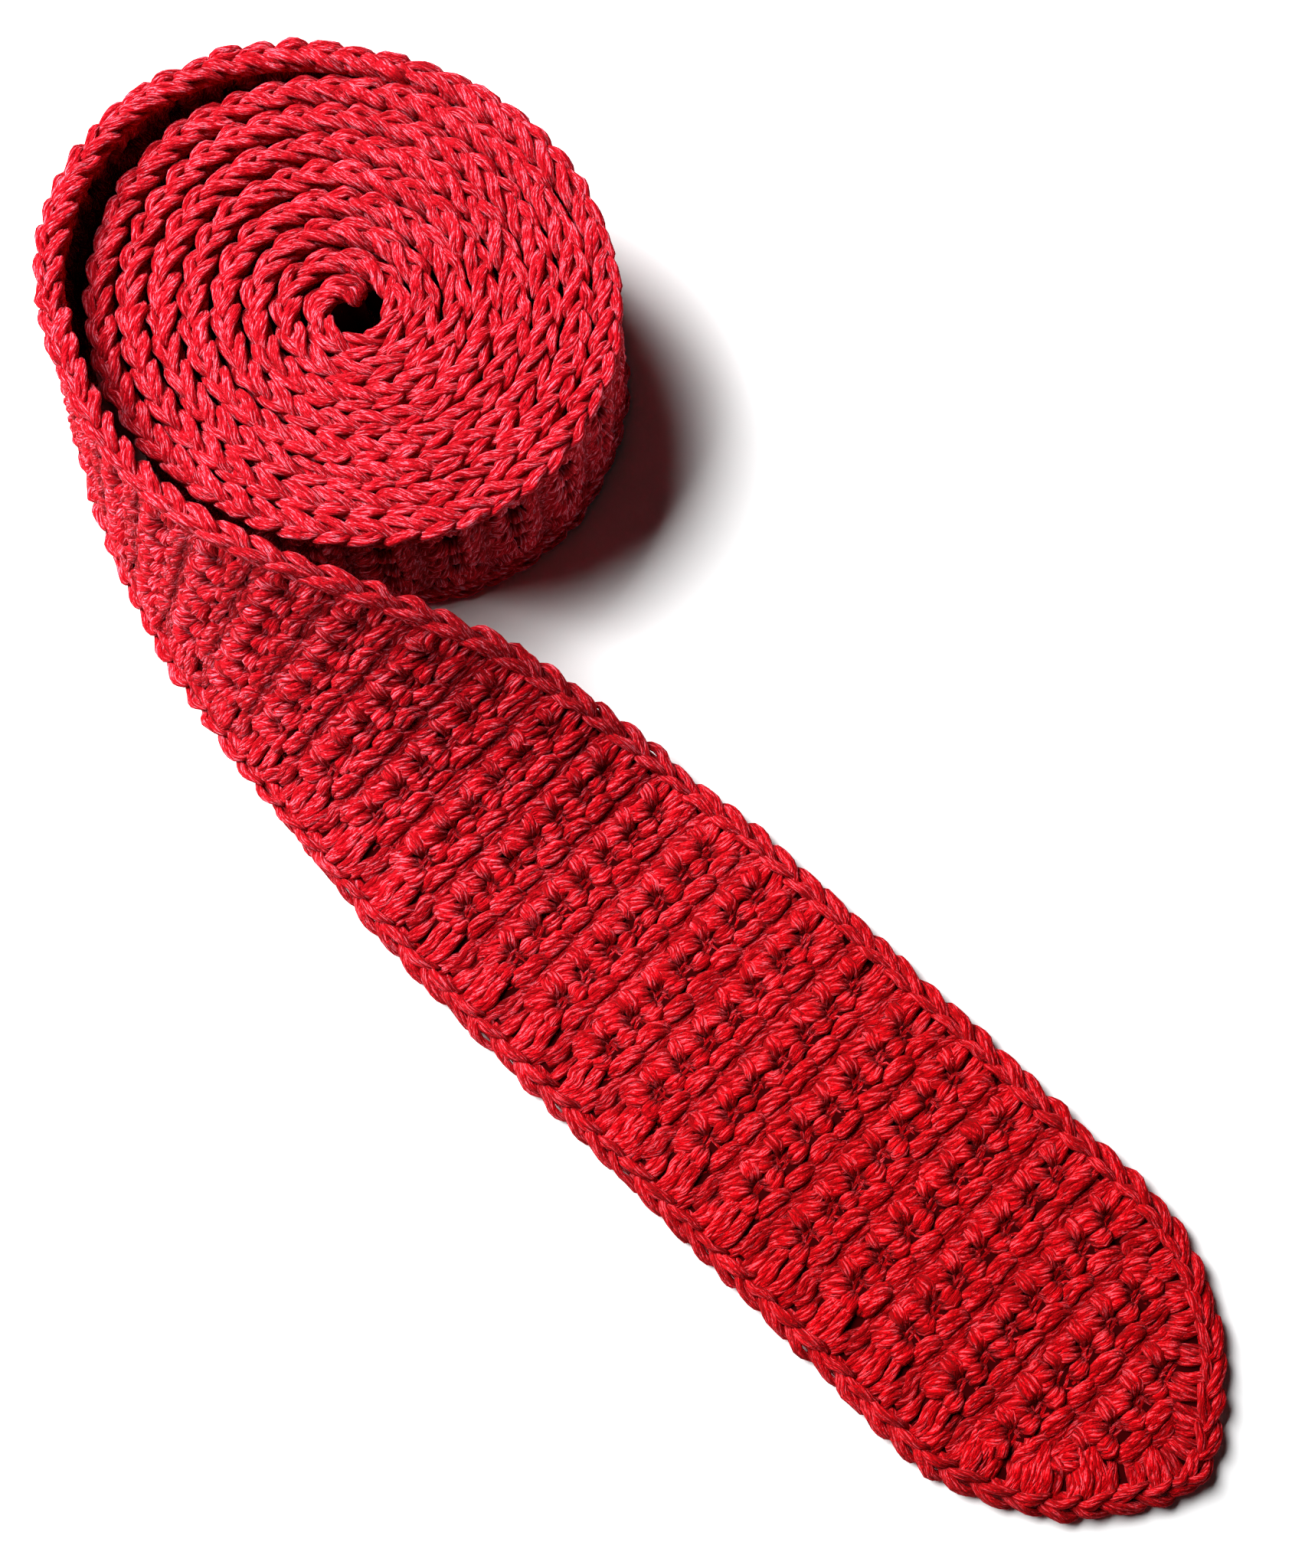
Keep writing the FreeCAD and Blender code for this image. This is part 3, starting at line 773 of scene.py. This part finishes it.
def core_sheet(name, start, end, material):
    """The fabric's hidden middle: a thin closed strip between two distances along the band.

    Returns the piece, its flat width and length in metres, and its flat area in square metres.
    """
    at = np.linspace(start, end, max(FEWEST_CORE_ROWS, round((end - start) / CORE_STEP)))
    shares = np.linspace(0, 1, CORE_COLUMNS)
    left = half_outline(at, "left")
    right = half_outline(at, "right")
    across = left[:, None] + (right - left)[:, None] * shares
    along = np.broadcast_to(at[:, None], across.shape)
    layers = [on_band(along, across, np.full(across.shape, side * CORE / 2))[0] for side in (1, -1)]
    rows, columns = across.shape
    grid = np.arange(rows * columns).reshape(rows, columns)
    under = rows * columns
    top = np.stack([grid[:-1, :-1], grid[1:, :-1], grid[1:, 1:], grid[:-1, 1:]], axis=-1).reshape(-1, 4)
    bottom = top[:, ::-1] + under
    rim = np.concatenate([grid[:, 0], grid[-1, 1:], grid[-2::-1, -1], grid[0, -2:0:-1]])
    ahead = np.roll(rim, -1)
    wall = np.stack([ahead, rim, rim + under, ahead + under], axis=-1)
    faces = np.concatenate([top, bottom, wall])
    vertices = np.concatenate([layer.reshape(-1, 3) for layer in layers]) / METRE
    mesh = fill_mesh(name, vertices, faces.ravel(), np.full(len(faces), 4))
    piece = link_piece(name, mesh, material)
    middle = (layers[0] + layers[1]) / 2
    length = np.linalg.norm(np.diff(middle[:, columns // 2], axis=0), axis=1).sum()
    width = np.linalg.norm(middle[:, -1] - middle[:, 0], axis=1)
    return piece, width.max() / METRE, length / METRE, width.mean() / METRE * length / METRE


def half_outline(at, side):
    """Where the hidden middle stops on one side of the band."""
    half_width = WIDTH[-1][1] / 2
    reach = np.interp(at, POINT[:, 0], POINT[:, 1]) - CORE_INSET
    reach = np.where(at < SHOULDER, half_width - CORE_INSET, np.maximum(reach, NARROWEST_CORE))
    if side == "left":
        return np.where(at < SHOULDER, CORE_INSET, half_width - reach)
    return np.where(at < SHOULDER, width_at(at) - CORE_INSET, half_width + reach)


def ride_or_bend(piece, bodies, start):
    """The piece rides on one body; a piece between two bodies only has its place baked into its mesh and
    rides on neither.
    """
    if len(bodies) == 1:
        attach(piece, bodies[0])
        return
    half_width = np.array(WIDTH[-1][1] / 2)
    ends = [on_band(np.array(start + span), half_width, np.array(0.0))[0] / METRE for span in BEND_SPAN]
    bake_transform(piece)


def build_section(name, start, end, bodies, nodes, faces, edges):
    """One stretch of the tie: its hidden middle, its panel's stitches and its two edgings.

    faces are the faces that get stitches on the panel, and edges the detail of each edging's strands.
    """
    core, width, length, area = core_sheet(f"{name}_fabric", start, min(end, TIP - CORE_INSET), core_shade_cotton)
    made = [(core, "panel_yarn")]
    panel = Yarn()
    for face in faces:
        lay_panel(panel, start, end, face)
    if panel.count:
        made.append((panel.piece(f"{name}_stitches", panel_cotton), "panel_yarn"))
    for side in ("left", "right"):
        edging = Yarn()
        last = POINT_END if end == TIP else end
        for face in (1, -1):
            lay_posts(edging, side, start, last, face, edges[side])
        lay_chain(edging, side, start, last, edges[side])
        lay_bed(edging, side, start, last)
        made.append((edging.piece(f"{name}_{side}_border", edging_cotton), "edging_yarn"))
    for piece, slot in made:
        ride_or_bend(piece, bodies, start)
    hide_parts(*[node for node in nodes if node.endswith("panel")])
    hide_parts(*[node for node in nodes if node.endswith(("left_edging", "lower_edging"))])
    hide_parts(*[node for node in nodes if node.endswith(("right_edging", "upper_edging"))])


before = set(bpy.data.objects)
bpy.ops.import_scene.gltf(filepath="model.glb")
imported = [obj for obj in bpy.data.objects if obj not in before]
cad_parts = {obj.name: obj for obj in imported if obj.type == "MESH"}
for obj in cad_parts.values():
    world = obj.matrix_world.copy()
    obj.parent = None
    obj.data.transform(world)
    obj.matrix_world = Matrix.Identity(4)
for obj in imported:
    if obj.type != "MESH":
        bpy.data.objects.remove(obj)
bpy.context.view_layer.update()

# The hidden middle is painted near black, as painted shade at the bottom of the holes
core_shade_cotton = plain_material("shaded cotton", CORE_SHADE_RED, CORE_ROUGHNESS)
panel_cotton = yarn_material("panel cotton", DEEP_RED, ROLL_LIT_RED)
edging_cotton = yarn_material("edging cotton", DEEP_RED, ROLL_LIT_RED)


def nodes_named(*starts):
    """The CAD's nodes whose names start with any of these words."""
    return [node for node in sorted(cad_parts) if node.startswith(starts)]


def build_roll():
    """The tight roll and the loose turn round it."""
    outer_start = LOOSE_START - 2 * math.pi * ROLL_RADIUS * OUTER_TURNS
    inner_nodes = [node for node in nodes_named("roll_turn") if not node.startswith("roll_turn_8")]
    build_section("inner_turns", NARROW_END, outer_start, ["roll"], inner_nodes, (),
                  {"left": COARSE, "right": FINE})
    build_section("outer_turn", outer_start, LOOSE_START, ["roll"], nodes_named("roll_turn_8"),
                  (1,), BOTH_FINE)
    build_section("loose_turn", LOOSE_START, 0, ["roll"], nodes_named("loose_turn"), (1, -1),
                  BOTH_FINE)


def build_blade():
    """The twist down from the roll, and the flat blade in stretches that each lie across one hinge."""
    grooves = [FIRST_GROOVE + RIDGE * groove for groove in PIECE_GROOVES]
    ends = grooves[1:] + [TIP]
    build_section("twist", 0, grooves[0], ["roll"], nodes_named("twist"), (1, -1), BOTH_FINE)
    stretches = (("blade_1", ["roll", "blade_1"], ("blade_base", "blade_1")),
                 ("blade_2", ["blade_1", "blade_2"], ("blade_2",)),
                 ("blade_3", ["blade_2", "blade_3"], ("blade_3",)),
                 ("tip", ["blade_3", "tip"], ("tip",)))
    for (name, bodies, starts), start, end in zip(stretches, grooves, ends):
        build_section(name, start, end, bodies, nodes_named(*starts), (1, -1), BOTH_FINE)


build_roll()
build_blade()


# ---------------------------------------------------------------------------------------------------------
# Floor, light and camera
# ---------------------------------------------------------------------------------------------------------

AIM_FROM_ROLL = (41.08, -61.08)  # from the roll's centre to the place on the floor the camera looks at
CAMERA_AIM = (ROLL_CENTRE[0] + AIM_FROM_ROLL[0], ROLL_CENTRE[1] + AIM_FROM_ROLL[1], 0.0)
CAMERA_ELEVATION = 77.0
CAMERA_AZIMUTH = 5.0
CAMERA_ROLL = -5.0
CAMERA_HEIGHT = 298.5
LENS = 50.1
SENSOR = 36.0
NEAR_CLIP = 10.0
FLOOR_HALF = 6000.0
FLOOR_DROP = 0.1            # the floor lies just under the tie
KEY_AZIMUTH = 150.0         # direction from +X
KEY_ELEVATION = 50.0
KEY_DISTANCE = 550.0
KEY_SIZE = 370.0
KEY_WATTS = 9.6
SURROUNDINGS = 0.010        # strength of the light from all round


def add_camera():
    """The camera looks steeply down from in front."""
    high, turn = math.radians(CAMERA_ELEVATION), math.radians(CAMERA_AZIMUTH)
    back = Vector((math.sin(turn) * math.cos(high), -math.cos(turn) * math.cos(high), math.sin(high)))
    right = Vector((math.cos(turn), math.sin(turn), 0))
    up = right.cross(-back)
    roll = math.radians(CAMERA_ROLL)
    rolled_right = right * math.cos(roll) + up * math.sin(roll)
    rolled_up = up * math.cos(roll) - right * math.sin(roll)
    camera = bpy.data.objects.new("camera", bpy.data.cameras.new("camera"))
    camera.data.sensor_fit = "AUTO"
    camera.data.sensor_width = SENSOR
    camera.data.lens = LENS
    camera.data.clip_start = NEAR_CLIP / METRE
    distance = CAMERA_HEIGHT / math.sin(high)
    turned = Matrix((rolled_right, rolled_up, back)).transposed().to_4x4()
    camera.matrix_world = Matrix.Translation((Vector(CAMERA_AIM) + back * distance) / METRE) @ turned
    bpy.context.scene.collection.objects.link(camera)
    bpy.context.scene.camera = camera


def add_floor():
    """A plain white floor."""
    half = FLOOR_HALF / METRE
    corners = np.array([(-half, -half, 0), (half, -half, 0), (half, half, 0), (-half, half, 0)], float)
    mesh = fill_mesh("floor", corners, np.arange(4), np.array([4]))
    floor = link_piece("floor", mesh, plain_material("white floor", FLOOR_WHITE, FLOOR_ROUGHNESS))
    floor.location.z = -FLOOR_DROP / METRE


def add_key_light():
    """A soft square light that faces the middle of the footprint."""
    light = bpy.data.lights.new("key", "AREA")
    light.size = KEY_SIZE / METRE
    light.energy = KEY_WATTS
    lamp = bpy.data.objects.new("key", light)
    turned, high = math.radians(KEY_AZIMUTH), math.radians(KEY_ELEVATION)
    towards = Vector((math.cos(turned) * math.cos(high), math.sin(turned) * math.cos(high), math.sin(high)))
    lamp.location = towards * KEY_DISTANCE / METRE
    lamp.rotation_euler = towards.to_track_quat("Z", "Y").to_euler()
    bpy.context.scene.collection.objects.link(lamp)


def add_surroundings():
    """Plain white surroundings."""
    world = bpy.data.worlds.new("surroundings")
    world.use_nodes = True
    background = world.node_tree.nodes["Background"]
    background.inputs["Color"].default_value = (1, 1, 1, 1)
    background.inputs["Strength"].default_value = SURROUNDINGS
    bpy.context.scene.world = world


add_camera()
add_floor()
add_key_light()
add_surroundings()
bpy.context.scene.view_settings.view_transform = "Standard"
